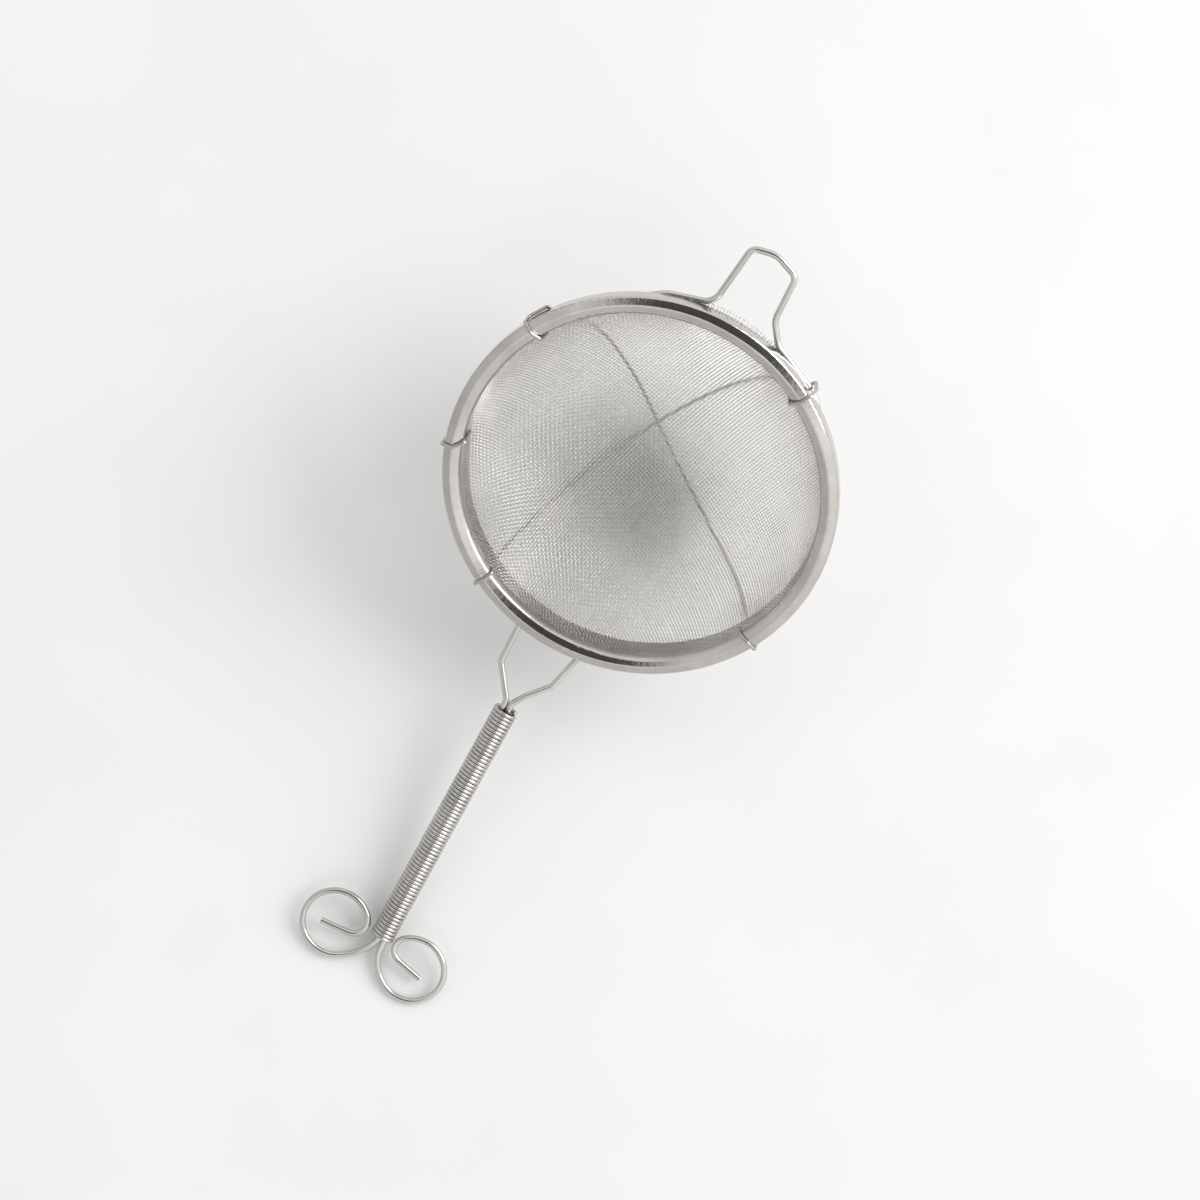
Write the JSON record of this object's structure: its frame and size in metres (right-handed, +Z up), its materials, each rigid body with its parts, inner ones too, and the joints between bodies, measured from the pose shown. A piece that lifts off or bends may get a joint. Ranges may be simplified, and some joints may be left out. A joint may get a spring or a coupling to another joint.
{
  "type": "flour sifter",
  "caption": "Wire mesh bowl sifter with rolled rim, rest loop and a wire handle whose grip is a close-wound coil ending in open curls.",
  "frame": {"origin": "centre of the overall box at the height of the surface that the sifter rests on", "axes": "+X from the handle's curls towards the rest loop, +Y to the left seen from the handle, +Z up"},
  "size_m": [0.2556, 0.1202, 0.0881],
  "materials": {
    "rim_steel": "satin rolled stainless strip",
    "collar_steel": "thin satin stainless band",
    "woven_cloth": "fine plain-weave stainless wire cloth",
    "frame_wire": "bright drawn stainless wire",
    "coil_wire": "bright close-wound stainless wire",
    "cradle_wire": "bright thin stainless wire"
  },
  "bodies": {
    "sifter": {"rim_hoop": "rim_steel", "mesh_collar": "collar_steel", "mesh_bowl": "woven_cloth", "frame_wire_left": "frame_wire", "frame_wire_right": "frame_wire", "rest_loop_wire": "frame_wire", "cradle_wire_1": "cradle_wire", "cradle_wire_2": "cradle_wire", "binding_clip": "cradle_wire"},
    "grip": {"grip_coil": "coil_wire"}
  },
  "joints": [
    {"name": "grip_spin", "type": "hinge", "parent": "sifter", "child": "grip", "pos_m": [-0.02685, 0.00705, 0.02079], "axis": [-0.9798, 0.0494, -0.1939], "continuous": true}
  ]
}
